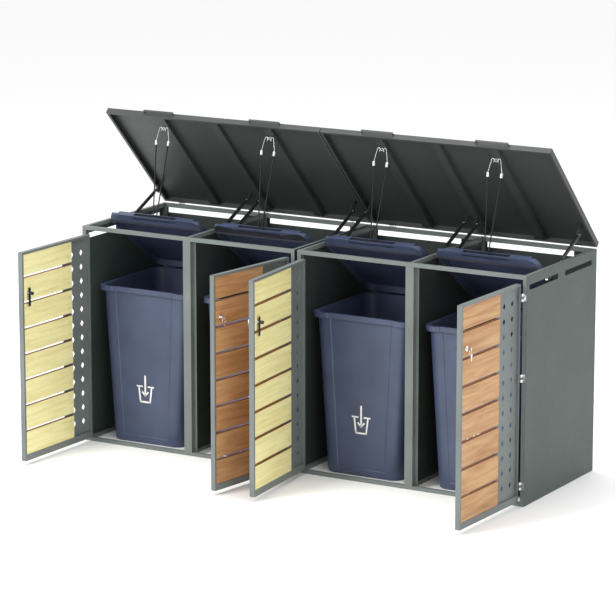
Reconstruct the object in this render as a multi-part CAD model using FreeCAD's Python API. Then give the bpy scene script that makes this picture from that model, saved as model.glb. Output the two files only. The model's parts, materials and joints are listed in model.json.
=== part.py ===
import FreeCAD, Part
"""Four-compartment steel bin shed with slatted doors, two gas-sprung roof lids and four wheeled bins.

Frame: X along the length, Y from the front (minus) to the rear (plus), Z up, origin on the
ground at the middle of the footprint. Millimetres. It is drawn standing open: the roof lids are
held up by their struts, the doors are swung out and the bin lids are drawn up by ropes.
"""
import math
import os

Vector = FreeCAD.Vector

# ---- driving dimensions of the shed ----
LENGTH = 2620.0
DEPTH = 800.0
HEIGHT = 1170.0
SHEET = 1.5
WALL_LOW = 5.0
SEAM_GAP = 14.0
TUBE = 20.0
TUBE_WALL = 1.5
POST_DEPTH = 30.0
FRONT = -DEPTH / 2
REAR = DEPTH / 2
BASE_TOP = 19.0
RAIL_LOW = HEIGHT - TUBE
FRAME_END = LENGTH / 2 - SHEET
SEAM_FACE = SEAM_GAP / 2 + SHEET
MODULES = ((-FRAME_END, -SEAM_FACE), (SEAM_FACE, FRAME_END))
CENTRE_WEB = 46.0
CENTRE_FLANGE = 15.0

# ---- vents, anchors ----
SIDE_VENT = (1096.0, 1122.0)
SIDE_VENT_SPANS = ((-369.0, -49.0), (31.0, 350.0))
REAR_VENT = (1117.0, 1145.0)
REAR_VENT_SPAN = (-298.0, 198.0)
ANCHOR_PLATE = 46.0
ANCHOR_THICKNESS = 3.0
ANCHOR_HOLE_R = 5.5

# ---- roof lids ----
ROOF_OPEN = 45.1
ROOF_AXIS_Y = REAR + SHEET + 6.0
ROOF_AXIS_Z = HEIGHT + 2.0
ROOF_RIM = 30.0
ROOF_TOP = ROOF_AXIS_Z + ROOF_RIM
ROOF_REAR = REAR + SHEET
ROOF_SEAM = 2.0
RIM_RETURN = 15.0
RIB_WIDTH = 50.0
RIB_DEPTH = 22.0
GRIP_LENGTH = 182.0
GRIP_REACH = 18.0
GRIP_THICKNESS = 3.0
GRIP_SPAN = (ROOF_TOP - 14.0, ROOF_TOP - 2.0)

# ---- doors ----
DOOR_GAP = 3.0
DOOR_WIDTH = 594.0
DOOR_THICK = 26.0
DOOR_LOW = 25.0
DOOR_HIGH = 1130.0
BARREL_R = 6.0
HINGE_PIN_R = 3.0
RUNNING_CLEARANCE = 0.05
HINGE_LENGTH = 40.0
HINGE_REACH = 20.0
HINGE_HEIGHTS = (106.0, 655.0, 1062.0)
DOOR_OPEN = (91.7, 81.7, 85.2, 88.5)
STILE = 12.0
TOP_RAIL = 12.0
BOTTOM_RAIL = 33.0
BOARD_COUNT = 8
BOARD_HEIGHT = 121.5
BOARD_PITCH = 135.8
OUTER_BOARD_START = 210.0
INNER_BOARD_START = 165.0
GROOVE_END = 238.0
HOLE_COLUMNS = (68.0, 150.0)
HOLE_COUNT = 13
HOLE_PITCH = 76.3
HOLE_TOP = 1042.0
HOLE_SIZE = (26.0, 36.0)
GROOVE = (11.5, 14.5)
BOARD_INSET = 2.0
LOCK_ALONG = 548.0
LOCK_HEIGHT = 913.0
LOCK_BARREL_R = 9.0
LOCK_COLLAR_R = 14.0
LOCK_NUT_R = 13.0
PLUG_R = 6.0
CAM_STANDOFF = 6.5
CAM_HALF_WIDTH = 8.0
CAM_REACH = (-70.0, 28.0)
KNOB_R = 9.0
KNOB_LENGTH = 20.0

# ---- gas struts ----
STRUT_FOOT = (-98.0, 1096.0)
STRUT_HEAD_BACK = 164.0
STRUT_HEAD_DROP = 38.0
STRUT_EDGE_OFFSET = 36.0
STRUT_MID_OFFSET = 38.0
STRUT_SIDE_PLAY = 0.4
CYLINDER_R = 9.5
ROD_R = 4.0
CYLINDER_LENGTH = 205.0
CYLINDER_NECK = 22.0
GLAND_LENGTH = 12.0
ROD_SHORT_OF_HEAD = 100.0
EYE_R = 9.0
EYE_WIDTH = 11.0
STUD_R = 4.0

# ---- bins ----
BIN_TOP = 838.0
BIN_WALL = 4.0
BIN_MOUTH = (574.0, -330.0, 255.0)
BIN_SHOULDER = (542.0, -318.0, 243.0)
BIN_BASE = (432.0, -308.0, 170.0)
BIN_RIM = 22.0
BIN_CORNER_R = 55.0
WHEEL_R = 100.0
WHEEL_WIDTH = 46.0
WHEEL_Y = 225.0
WHEEL_OFFSET = 257.0
AXLE_R = 10.0
AXLE_LUG = (150.0, 20.0)
AXLE_LUG_R = 20.0
HUB_R = 18.0
DISC_R = 70.0
DISC_SINK = 8.0
TYRE_ROUND = 10.0
LID_AXIS = (262.0, 850.0)
LID_OPEN = 35.5
LID_HALF = 279.0
LID_REAR = 248.0
LID_LOW = 842.0
LID_TOP = 880.0
LID_WALL = 4.0
LID_CORNER_R = 45.0
LIP = (-345.0, 862.0)
LIP_HEEL = (-290.0, 851.0)
RIDGE_HALF = 236.0
RIDGE_TOP = 898.0
RIDGE_BACK = -285.0
SLOT_HALF = 130.0
SLOT_WIDTH = 32.0
SLOT_DEPTH = 22.0
CROSS_BAR_R = 4.0
CROSS_BAR_SINK = 5.0
LID_KNUCKLE_R = 12.0
LID_KNUCKLE = (175.0, 40.0)
LID_LUG = (210.0, 16.0)
LID_PIN_R = 6.0
LID_PIN_HALF = 218.0

# ---- ropes ----
ROPE_R = 3.5
ROPE_HALF_SPREAD = 37.0
ROPE_REACH = 385.0
ROPE_TURN_HALF = 9.5
ROPE_TURN_DROP = 8.5
EYE_BACK = 715.0
FERRULE_R = 8.0
FERRULE_LENGTH = 24.0
HOOK_WIRE_R = 1.6
EYE_RING = (7.0, 1.8)
EYE_DROP = 14.0


def box(x0, x1, y0, y1, z0, z1):
    """A block between two corners, whichever way round they come."""
    low = Vector(min(x0, x1), min(y0, y1), min(z0, z1))
    return Part.makeBox(abs(x1 - x0), abs(y1 - y0), abs(z1 - z0), low)


def rod(start, direction, radius, length):
    """A round bar."""
    return Part.makeCylinder(radius, length, Vector(*start), Vector(*direction))


def square_tube(x0, x1, y0, y1, z0, z1, along):
    """A rectangular tube, open at both ends, that runs along the named axis."""
    wall = {name: 0.0 if name == along else TUBE_WALL for name in "xyz"}
    inner = box(x0 + wall["x"], x1 - wall["x"], y0 + wall["y"], y1 - wall["y"],
                z0 + wall["z"], z1 - wall["z"])
    return box(x0, x1, y0, y1, z0, z1).cut(inner)


def union(shapes):
    """One solid from shapes that meet."""
    shape = shapes[0]
    for other in shapes[1:]:
        shape = shape.fuse(other)
    return shape.removeSplitter()


def turned(shape, axis_point, axis, degrees):
    """A copy turned about an axis."""
    copy = shape.copy()
    copy.rotate(Vector(*axis_point), Vector(*axis), degrees)
    return copy


def opened_roof(shape):
    """Turns a piece that is drawn on the shut roof to where the open roof holds it."""
    return turned(shape, (0, ROOF_AXIS_Y, ROOF_AXIS_Z), (1, 0, 0), -ROOF_OPEN)


def opened_bin_lid(shape):
    """Turns a piece that is drawn on the shut bin lid to where the raised lid holds it."""
    return turned(shape, (0, LID_AXIS[0], LID_AXIS[1]), (1, 0, 0), -LID_OPEN)


def at_roof(y, z):
    """Where a point of the shut roof, seen along X, lies on the open roof."""
    a = math.radians(ROOF_OPEN)
    dy, dz = y - ROOF_AXIS_Y, z - ROOF_AXIS_Z
    return (ROOF_AXIS_Y + dy * math.cos(a) + dz * math.sin(a),
            ROOF_AXIS_Z - dy * math.sin(a) + dz * math.cos(a))


def at_bin_lid(y, z):
    """Where a point of the shut bin lid, seen along X, lies on the raised lid."""
    a = math.radians(LID_OPEN)
    dy, dz = y - LID_AXIS[0], z - LID_AXIS[1]
    return (LID_AXIS[0] + dy * math.cos(a) + dz * math.sin(a),
            LID_AXIS[1] - dy * math.sin(a) + dz * math.cos(a))


def rounded_rectangle(half_x, y0, y1, z, radius, centre_x=0.0):
    """A closed wire round a rectangle with round corners, level, at height z."""
    x0, x1 = centre_x - half_x, centre_x + half_x
    diagonal = radius * (1 - math.sqrt(0.5))
    edges = []
    corners = (((x1, y0), (0, 1), (-1, 0)), ((x1, y1), (-1, 0), (0, -1)),
               ((x0, y1), (0, -1), (1, 0)), ((x0, y0), (1, 0), (0, 1)))
    ends = []
    for (x, y), after, before in corners:
        a = Vector(x + before[0] * radius, y + before[1] * radius, z)
        b = Vector(x + after[0] * radius, y + after[1] * radius, z)
        m = Vector(x + (after[0] + before[0]) * diagonal, y + (after[1] + before[1]) * diagonal, z)
        ends.append((a, m, b))
    for i, (a, m, b) in enumerate(ends):
        edges.append(Part.Arc(a, m, b).toShape())
        edges.append(Part.LineSegment(b, ends[(i + 1) % 4][0]).toShape())
    return Part.Wire(edges)


def bent_wire(points, share=0.45):
    """Straight runs joined by tangent arcs, each as large as its two runs allow, and the radii."""
    points = [Vector(*p) for p in points]
    edges, radii, start = [], [], points[0]
    for before, corner, after in zip(points, points[1:], points[2:]):
        u, v = before - corner, after - corner
        reach = share * min(u.Length, v.Length)
        half_turn = (math.pi - u.getAngle(v)) / 2
        radius = reach / math.tan(half_turn)
        u.normalize()
        v.normalize()
        inward = (u + v).normalize()
        middle = corner + inward * (reach / math.sin(half_turn) - radius)
        a, b = corner + u * reach, corner + v * reach
        edges.append(Part.LineSegment(start, a).toShape())
        edges.append(Part.Arc(a, middle, b).toShape())
        radii.append(radius)
        start = b
    edges.append(Part.LineSegment(start, points[-1]).toShape())
    return Part.Wire(edges), radii


def tube_along(wire, radius):
    """A round solid swept along a wire."""
    start = wire.Edges[0].valueAt(wire.Edges[0].FirstParameter)
    direction = wire.Edges[0].tangentAt(wire.Edges[0].FirstParameter)
    profile = Part.Wire([Part.makeCircle(radius, start, direction)])
    return wire.makePipeShell([profile], True, False)


def export(name, shapes):
    """Writes one named sub-part, as one solid or as a group of separate ones."""
    solids = [solid for shape in shapes for solid in shape.Solids]
    shape = solids[0] if len(solids) == 1 else Part.makeCompound(solids)
    shape.exportStep(os.path.join("parts", name + ".step"))


def middle_of(module):
    """Half way along a module."""
    return (module[0] + module[1]) / 2


def compartments():
    """The middle of each compartment, from left to right."""
    return [end + (middle_of(module) - end) / 2 for module in MODULES for end in module]


# ---- fixed frame ----
def frame_parts():
    """Posts, rails, base, anchor plates and the joining bolts of both modules."""
    corner_posts, centre_posts, top, base, plates = [], [], [], [], []
    for left, right in MODULES:
        middle = middle_of((left, right))
        for x in (left, right - TUBE):
            corner_posts.append(square_tube(x, x + TUBE, FRONT, FRONT + POST_DEPTH, BASE_TOP, RAIL_LOW, "z"))
        for x in (left, middle - TUBE / 2, right - TUBE):
            corner_posts.append(square_tube(x, x + TUBE, REAR - TUBE, REAR, BASE_TOP, RAIL_LOW, "z"))
            top.append(square_tube(x, x + TUBE, FRONT + TUBE, REAR - TUBE, RAIL_LOW, HEIGHT, "y"))
            base.append(square_tube(x, x + TUBE, FRONT + TUBE, REAR - TUBE, 0, BASE_TOP, "y"))
        centre_posts.append(centre_post(middle))
        for y in (FRONT, REAR - TUBE):
            top.append(square_tube(left, right, y, y + TUBE, RAIL_LOW, HEIGHT, "x"))
            base.append(square_tube(left, right, y, y + TUBE, 0, BASE_TOP, "x"))
    for side_x in (-1, 1):
        for side_y in (-1, 1):
            plates.append(anchor_plate(side_x, side_y))
    export("corner_posts", corner_posts)
    export("centre_posts", centre_posts)
    export("top_rails", top)
    export("base_rails", base)
    export("anchor_plates", plates)
    export("joining_bolts", joining_bolts())


def centre_post(x):
    """A top-hat section: a web at the front, two walls and a flange behind each door's edge."""
    half = CENTRE_WEB / 2
    back = FRONT + POST_DEPTH
    pieces = [box(x - half, x + half, FRONT, FRONT + SHEET, BASE_TOP, RAIL_LOW)]
    for side in (-1, 1):
        outer = x + side * half
        pieces.append(box(outer - side * SHEET, outer, FRONT, back, BASE_TOP, RAIL_LOW))
        pieces.append(box(outer - side * SHEET, outer + side * CENTRE_FLANGE, back, back + SHEET,
                          BASE_TOP, RAIL_LOW))
    return union(pieces)


def anchor_plate(side_x, side_y):
    """A drilled plate in one inner corner of the base."""
    x, y = side_x * (FRAME_END - TUBE), side_y * (REAR - TUBE)
    plate = box(x, x - side_x * ANCHOR_PLATE, y, y - side_y * ANCHOR_PLATE, 0, ANCHOR_THICKNESS)
    hole = (x - side_x * ANCHOR_PLATE / 2, y - side_y * ANCHOR_PLATE / 2, 0)
    return plate.cut(rod(hole, (0, 0, 1), ANCHOR_HOLE_R, ANCHOR_THICKNESS))


def joining_bolts():
    """Spacer sleeves between the two modules, each with its bolt head and nut on the walls."""
    bolts = []
    for y in (FRONT + 15.0, REAR - 10.0):
        for z in (60.0, 600.0):
            bolts.append(rod((-SEAM_FACE, y, z), (1, 0, 0), 7.0, 2 * SEAM_FACE))
    return bolts


def panels():
    """Vented outer walls, rear walls, and the plain walls between the compartments."""
    walls = []
    for side in (-1, 1):
        wall = box(side * FRAME_END, side * (FRAME_END + SHEET), FRONT, REAR, WALL_LOW, HEIGHT)
        for y0, y1 in SIDE_VENT_SPANS:
            wall = wall.cut(box(side * (FRAME_END - 1), side * (FRAME_END + 3), y0, y1, *SIDE_VENT))
        walls.append(wall)
    export("side_panels", walls)
    inner, rears = [], []
    for index, (left, right) in enumerate(MODULES):
        middle = middle_of((left, right))
        seam, side = (right, 1) if index == 0 else (left, -1)
        wall = box(seam, seam + side * SHEET, FRONT, REAR, WALL_LOW, HEIGHT)
        for bolt in joining_bolts():
            wall = wall.cut(bolt)
        inner.append(wall)
        inner.append(box(middle - SHEET / 2, middle + SHEET / 2, FRONT + POST_DEPTH + SHEET, REAR - TUBE,
                         BASE_TOP, RAIL_LOW))
        rear = box(left, right, REAR, REAR + SHEET, WALL_LOW, HEIGHT)
        for centre in compartments()[2 * index:2 * index + 2]:
            rear = rear.cut(box(centre + REAR_VENT_SPAN[0], centre + REAR_VENT_SPAN[1],
                                REAR - 1, REAR + 3, *REAR_VENT))
        rears.append(rear)
    export("partition_panels", inner)
    export("rear_panels", rears)


# ---- hinges ----
def hinge_half(middle_knuckle, bore):
    """Half of a butt hinge about the Z axis, standing from Z 0 with its leaf along +X."""
    third = HINGE_LENGTH / 3
    play = 0.3
    spans = [(third + play, 2 * third - play)] if middle_knuckle else [(0, third), (2 * third, HINGE_LENGTH)]
    pieces = [box(BARREL_R + 1, HINGE_REACH, BARREL_R - 2.0, BARREL_R, 0, HINGE_LENGTH)]
    for low, high in spans:
        pieces.append(rod((0, 0, low), (0, 0, 1), BARREL_R, high - low))
        pieces.append(box(0, BARREL_R + 1, BARREL_R - 2.0, BARREL_R, low, high))
    return union(pieces).cut(rod((0, 0, -1), (0, 0, 1), bore, HINGE_LENGTH + 2))


def mirrored(shape):
    """A copy reflected in the plane X = 0."""
    return shape.mirror(Vector(0, 0, 0), Vector(1, 0, 0))


def door_axes():
    """(X of the hinge axis, 1 for a left-hung door or -1 for a right-hung one), from left to right."""
    axes = []
    for left, right in MODULES:
        axes.append((left + TUBE, 1))
        axes.append((right - TUBE, -1))
    return axes


def fixed_hinge_halves():
    """Leaves on the end posts and on the rear wall, and every hinge pin."""
    leaves, pins = [], []
    for x, side in door_axes():
        for height in HINGE_HEIGHTS:
            leaf = mirrored(hinge_half(False, HINGE_PIN_R))
            leaf = leaf if side > 0 else mirrored(leaf)
            leaf.translate(Vector(x, FRONT - BARREL_R, height - HINGE_LENGTH / 2))
            leaves.append(leaf)
            pins.append(rod((x, FRONT - BARREL_R, height - HINGE_LENGTH / 2), (0, 0, 1),
                            HINGE_PIN_R, HINGE_LENGTH))
    export("door_hinge_post_leaves", leaves)
    roof_leaves = []
    for x in roof_hinge_starts():
        roof_leaves.append(placed_roof_leaf(False, x))
        pins.append(rod((x, ROOF_AXIS_Y, ROOF_AXIS_Z), (1, 0, 0), HINGE_PIN_R, HINGE_LENGTH))
    export("roof_hinge_frame_leaves", roof_leaves)
    export("hinge_pins", pins)


def roof_hinge_starts():
    """The X where each roof hinge starts: one near each end of a lid and one in the middle."""
    starts = []
    for left, right in MODULES:
        for centre in (left + 110.0, (left + right) / 2, right - 110.0):
            starts.append(centre - HINGE_LENGTH / 2)
    return starts


def placed_roof_leaf(on_roof, x):
    """A hinge half about the roof's axis, its leaf down the rear wall or up the lid's rear rim."""
    bore = HINGE_PIN_R + RUNNING_CLEARANCE if on_roof else HINGE_PIN_R
    leaf = hinge_half(on_roof, bore)
    # the barrel is laid along X, the leaf's face turned to the rear wall
    placement = FreeCAD.Matrix(0, 0, 1, x,
                               0, -1, 0, ROOF_AXIS_Y,
                               (1 if on_roof else -1), 0, 0, ROOF_AXIS_Z)
    return leaf.transformGeometry(placement)


# ---- doors ----
def board(low, high):
    """A rebated board: the front layer stops short of the inner one, and a groove takes the sheet."""
    end = DOOR_GAP + DOOR_WIDTH - STILE
    front, back = BARREL_R + BOARD_INSET, BARREL_R + DOOR_THICK - BOARD_INSET
    groove = (BARREL_R + GROOVE[0], BARREL_R + GROOVE[1])
    return union([box(OUTER_BOARD_START, end, front, groove[0], low, high),
                  box(GROOVE_END, end, groove[0], groove[1], low, high),
                  box(INNER_BOARD_START, end, groove[1], back, low, high)])


def perforated_sheet():
    """The steel sheet on the hinge side, with two columns of lozenge holes."""
    low, high = DOOR_LOW + BOTTOM_RAIL, DOOR_HIGH - TOP_RAIL
    face = BARREL_R + (GROOVE[0] + GROOVE[1] - SHEET) / 2
    sheet = box(DOOR_GAP + STILE, GROOVE_END - 3.0, face, face + SHEET, low, high)
    half_width, half_height = HOLE_SIZE[0] / 2, HOLE_SIZE[1] / 2
    for column in HOLE_COLUMNS:
        for row in range(HOLE_COUNT):
            z = HOLE_TOP - row * HOLE_PITCH
            corners = [(column - half_width, z), (column, z - half_height),
                       (column + half_width, z), (column, z + half_height), (column - half_width, z)]
            wire = Part.makePolygon([Vector(x, face - 1, cz) for x, cz in corners])
            sheet = sheet.cut(Part.Face(wire).extrude(Vector(0, SHEET + 2, 0)))
    return sheet


def door_pieces():
    """A shut left-hung door whose hinge axis is Z, as node suffixes and their solids."""
    start, end = DOOR_GAP, DOOR_GAP + DOOR_WIDTH
    front, back = BARREL_R, BARREL_R + DOOR_THICK
    low, high = DOOR_LOW, DOOR_HIGH
    frame = [square_tube(start, start + STILE, front, back, low, high, "z"),
             square_tube(end - STILE, end, front, back, low, high, "z"),
             square_tube(start + STILE, end - STILE, front, back, low, low + BOTTOM_RAIL, "x"),
             square_tube(start + STILE, end - STILE, front, back, high - TOP_RAIL, high, "x"),
             perforated_sheet()]
    for height in HINGE_HEIGHTS:
        leaf = hinge_half(True, HINGE_PIN_R + RUNNING_CLEARANCE)
        leaf.translate(Vector(0, 0, height - HINGE_LENGTH / 2))
        frame.append(leaf)
    boards = []
    for index in range(BOARD_COUNT):
        bottom = DOOR_LOW + BOTTOM_RAIL + index * BOARD_PITCH
        boards.append(board(bottom, min(bottom + BOARD_HEIGHT, DOOR_HIGH - TOP_RAIL)))
    lock_bore = rod((LOCK_ALONG, 0, LOCK_HEIGHT), (0, 1, 0), LOCK_BARREL_R, 2 * DOOR_THICK)
    boards = [b.cut(lock_bore) for b in boards]
    return {"frame": frame, "boards": boards, "lock_body": [lock_body()], "key_and_cam": key_and_cam()}


def lock_body():
    """The lock's collar, barrel and nut, with a round bore for the plug."""
    front, back = BARREL_R + BOARD_INSET, BARREL_R + DOOR_THICK - BOARD_INSET
    collar, nut = 4.0, 3.0
    at = (LOCK_ALONG, front - collar, LOCK_HEIGHT)
    shape = union([rod(at, (0, 1, 0), LOCK_COLLAR_R, collar),
                   rod(at, (0, 1, 0), LOCK_BARREL_R, back - front + collar + nut),
                   rod((LOCK_ALONG, back, LOCK_HEIGHT), (0, 1, 0), LOCK_NUT_R, nut)])
    return shape.cut(rod((LOCK_ALONG, 0, LOCK_HEIGHT), (0, 1, 0), PLUG_R, 2 * DOOR_THICK))


def key_and_cam():
    """The plug with its cam and inner knob, and the key, ring and spare key that hang on it."""
    front, back = BARREL_R - 2.0, BARREL_R + DOOR_THICK + CAM_STANDOFF
    x, z = LOCK_ALONG, LOCK_HEIGHT
    plug = rod((x, front, z), (0, 1, 0), PLUG_R - RUNNING_CLEARANCE, back - front + 6.0)
    cam = box(x - CAM_HALF_WIDTH, x + CAM_HALF_WIDTH, back, back + 3.0, z + CAM_REACH[0], z + CAM_REACH[1])
    knob = rod((x, back + 3.0, z), (0, 1, 0), KNOB_R, KNOB_LENGTH)
    blade = box(x - 1.0, x + 1.0, front - 8.0, front, z - 4.0, z + 4.0)
    bow = rod((x - 1.0, front - 17.0, z), (1, 0, 0), 10.0, 2.0).cut(
        rod((x - 1.0, front - 20.0, z - 3.0), (1, 0, 0), 2.5, 2.0))
    turning = union([plug, cam, knob, blade, bow])
    ring_centre = Vector(x, front - 20.0, z - 14.5)
    key_ring = Part.makeTorus(11.5, 0.9, ring_centre, Vector(0, 1, 0))
    low = z - 62.0
    spare = union([rod((x - 9.0, front - 21.0, z - 34.0), (0, 1, 0), 9.0, 2.0),
                   box(x - 12.0, x - 6.0, front - 21.0, front - 19.0, low, z - 40.0)])
    spare = spare.cut(rod((x - 9.0, front - 22.0, z - 27.5), (0, 1, 0), 1.5, 5.0))
    return [turning, key_ring, spare]


def doors():
    """The four doors, each swung open about its hinge axis."""
    pieces = door_pieces()
    for number, ((x, side), angle) in enumerate(zip(door_axes(), DOOR_OPEN), start=1):
        for suffix, shapes in pieces.items():
            placed = []
            for shape in shapes:
                hung = shape if side > 0 else mirrored(shape)
                swung = turned(hung, (0, 0, 0), (0, 0, 1), -side * angle)
                swung.translate(Vector(x, FRONT - BARREL_R, 0))
                placed.append(swung)
            export(f"door_{number}_{suffix}", placed)


# ---- roof lids ----
def roof_sheet(left, right):
    """A tray of folded sheet: top, four rims and their returns."""
    low, high = ROOF_AXIS_Z, ROOF_TOP
    outer = box(left, right, FRONT, ROOF_REAR, low, high)
    hollow = box(left + SHEET, right - SHEET, FRONT + SHEET, ROOF_REAR - SHEET, low + SHEET, high - SHEET)
    mouth = box(left + RIM_RETURN, right - RIM_RETURN, FRONT + RIM_RETURN, ROOF_REAR - RIM_RETURN,
                low, low + SHEET)
    return outer.cut(hollow).cut(mouth)


def roof_ribs(left, right):
    """Three channels across the lid, and the plates that carry the strut heads."""
    high = ROOF_TOP - SHEET
    low = high - RIB_DEPTH
    ribs = []
    for share in (0.25, 0.5, 0.75):
        x = left + share * (right - left)
        channel = box(x - RIB_WIDTH / 2, x + RIB_WIDTH / 2, FRONT + SHEET, ROOF_REAR - SHEET, low, high)
        inner = box(x - RIB_WIDTH / 2 + SHEET, x + RIB_WIDTH / 2 - SHEET, FRONT, ROOF_REAR,
                    low + SHEET, high)
        ribs.append(channel.cut(inner))
    y, z = ROOF_AXIS_Y - STRUT_HEAD_BACK, ROOF_AXIS_Z - STRUT_HEAD_DROP
    for x, _, plate_side in strut_places(left, right):
        near = x + plate_side * (CYLINDER_R + 0.8)
        stud_end = x + plate_side * (EYE_WIDTH / 2 + STRUT_SIDE_PLAY)
        plate = box(near, near + plate_side * 2.0, y - 14.0, y + 14.0, z - 10.0, high)
        stud = rod((near, y, z), (-plate_side, 0, 0), STUD_R, abs(near - stud_end))
        ribs.append(union([plate, stud]))
    return ribs


def strut_places(left, right):
    """(X, side of the rail its foot stands on, side of the plate at its head) of a lid's gas struts."""
    middle = (left + right) / 2
    return [(left + STRUT_EDGE_OFFSET, -1, 1), (middle - STRUT_MID_OFFSET, 1, 1),
            (middle + STRUT_MID_OFFSET, -1, -1), (right - STRUT_EDGE_OFFSET, 1, -1)]


def roof_grips(centres):
    """Bridge handles of bent strip on the front rim, one over each compartment."""
    grips = []
    half, w = GRIP_LENGTH / 2, GRIP_THICKNESS
    for x in centres:
        outer = box(x - half, x + half, FRONT - GRIP_REACH, FRONT, *GRIP_SPAN)
        inner = box(x - half + w, x + half - w, FRONT - GRIP_REACH + w, FRONT, *GRIP_SPAN)
        grips.append(outer.cut(inner))
    return grips


def rope_frame():
    """The cross bar's centre and the eye's centre, as (Y, Z), and the unit vector between them."""
    bar = at_bin_lid(*cross_bar_centre())
    eye = at_roof(ROOF_AXIS_Y - EYE_BACK, ROOF_TOP - SHEET - RIB_DEPTH - EYE_DROP)
    dy, dz = eye[0] - bar[0], eye[1] - bar[1]
    span = math.hypot(dy, dz)
    return bar, eye, (dy / span, dz / span), span


def on_rope_plane(centre_x, x, t):
    """A point of the slanted plane that a rope lies in: x across, t up from the cross bar."""
    bar, _, up, _ = rope_frame()
    return (centre_x + x, bar[0] + up[0] * t, bar[1] + up[1] * t)


def rope(centre_x):
    """A rope from one ferrule, round under the bin lid's cross bar and up to the other ferrule."""
    points = [on_rope_plane(centre_x, x, t) for x, t in
              ((-ROPE_HALF_SPREAD, ROPE_REACH), (-ROPE_TURN_HALF, -ROPE_TURN_DROP),
               (ROPE_TURN_HALF, -ROPE_TURN_DROP), (ROPE_HALF_SPREAD, ROPE_REACH))]
    wire, radii = bent_wire(points)
    solid = tube_along(wire, ROPE_R)
    expected = math.pi * ROPE_R ** 2 * wire.Length
    print(f"rope at {centre_x:.0f}: length {wire.Length:.1f} mm, radii",
          [round(r, 1) for r in radii], f"volume {solid.Volume:.0f} of {expected:.0f}")
    return solid


def hooks_and_ferrules(centre_x):
    """An eye on the rib, and on each side an open hook with the ferrule that grips the rope."""
    _, eye, _, span = rope_frame()
    stem_top = at_roof(ROOF_AXIS_Y - EYE_BACK, ROOF_TOP - SHEET - RIB_DEPTH)
    pieces = [Part.makeTorus(*EYE_RING, Vector(centre_x, *eye), Vector(0, 1, 0.3))]
    stem_direction = (0, eye[0] - stem_top[0], eye[1] - stem_top[1])
    pieces.append(rod((centre_x, *stem_top), stem_direction, 2.2, EYE_DROP - EYE_RING[0] - 1.0))
    lean = math.atan2(ROPE_HALF_SPREAD - ROPE_TURN_HALF, ROPE_REACH + ROPE_TURN_DROP)
    for side in (-1, 1):
        start = Vector(*on_rope_plane(centre_x, side * ROPE_HALF_SPREAD, ROPE_REACH))
        top_x = ROPE_HALF_SPREAD + FERRULE_LENGTH * math.sin(lean)
        top_t = ROPE_REACH + FERRULE_LENGTH * math.cos(lean)
        end = Vector(*on_rope_plane(centre_x, side * top_x, top_t))
        pieces.append(rod(tuple(start), tuple(end - start), FERRULE_R, FERRULE_LENGTH))
        hook = [on_rope_plane(centre_x, side * x, t) for x, t in
                ((top_x, top_t), (top_x - 8.0, span - 22.0), (24.0, span + 7.0),
                 (10.5, span + 8.0), (11.5, span - 12.0))]
        wire, _ = bent_wire(hook)
        pieces.append(tube_along(wire, HOOK_WIRE_R))
    return pieces


def roof_lids():
    """Both lids with everything that swings with them."""
    outer_left, outer_right = -LENGTH / 2, LENGTH / 2
    spans = ((outer_left, -ROOF_SEAM), (ROOF_SEAM, outer_right))
    for index, (name, (left, right)) in enumerate(zip(("left", "right"), spans)):
        centres = compartments()[2 * index:2 * index + 2]
        export(f"roof_{name}_sheet", [opened_roof(roof_sheet(left, right))])
        export(f"roof_{name}_ribs", [opened_roof(s) for s in roof_ribs(left, right)])
        export(f"roof_{name}_grips", [opened_roof(s) for s in roof_grips(centres)])
        starts = roof_hinge_starts()[3 * index:3 * index + 3]
        export(f"roof_{name}_hinge_leaves", [opened_roof(placed_roof_leaf(True, x)) for x in starts])
        export(f"roof_{name}_rope_hooks", [s for x in centres for s in hooks_and_ferrules(x)])
        export_struts(name, left, right)


# ---- gas struts ----
def export_struts(name, left, right):
    """A lid's four struts: rods that tilt on the frame's studs, and cylinders that slide on them."""
    head = at_roof(ROOF_AXIS_Y - STRUT_HEAD_BACK, ROOF_AXIS_Z - STRUT_HEAD_DROP)
    dy, dz = head[0] - STRUT_FOOT[0], head[1] - STRUT_FOOT[1]
    span = math.hypot(dy, dz)
    along = (0, dy / span, dz / span)
    rods, cylinders = [], []
    for x, _, _ in strut_places(left, right):
        near = x - EYE_WIDTH / 2
        eye = rod((near, *STRUT_FOOT), (1, 0, 0), EYE_R, EYE_WIDTH)
        shaft = rod((x, *STRUT_FOOT), along, ROD_R, span - ROD_SHORT_OF_HEAD)
        bore = rod((near, *STRUT_FOOT), (1, 0, 0), STUD_R + RUNNING_CLEARANCE, EYE_WIDTH)
        rods.append(eye.fuse(shaft).cut(bore))
        cylinders.append(cylinder(x, head, along, span))
    export(f"strut_rods_{name}", rods)
    export(f"strut_cylinders_{name}", cylinders)


def cylinder(x, head, along, span):
    """A gas cylinder with its gland, neck and head eye, hollow where the rod slides."""
    def up_to(distance):
        """The point on the strut's line that far from its foot."""
        return (x, STRUT_FOOT[0] + along[1] * distance, STRUT_FOOT[1] + along[2] * distance)

    low, high = span - CYLINDER_NECK - CYLINDER_LENGTH, span - CYLINDER_NECK
    body = rod(up_to(low), along, CYLINDER_R, CYLINDER_LENGTH)
    body = body.fuse(rod(up_to(high - 2.0), along, ROD_R, CYLINDER_NECK + 2.0))
    body = body.fuse(rod((x - EYE_WIDTH / 2, *head), (1, 0, 0), EYE_R, EYE_WIDTH))
    body = body.cut(rod(up_to(low), along, ROD_R + RUNNING_CLEARANCE, GLAND_LENGTH))
    return body.cut(rod(up_to(low + GLAND_LENGTH), along, CYLINDER_R - 1.5,
                        CYLINDER_LENGTH - GLAND_LENGTH - 4.0))


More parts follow.
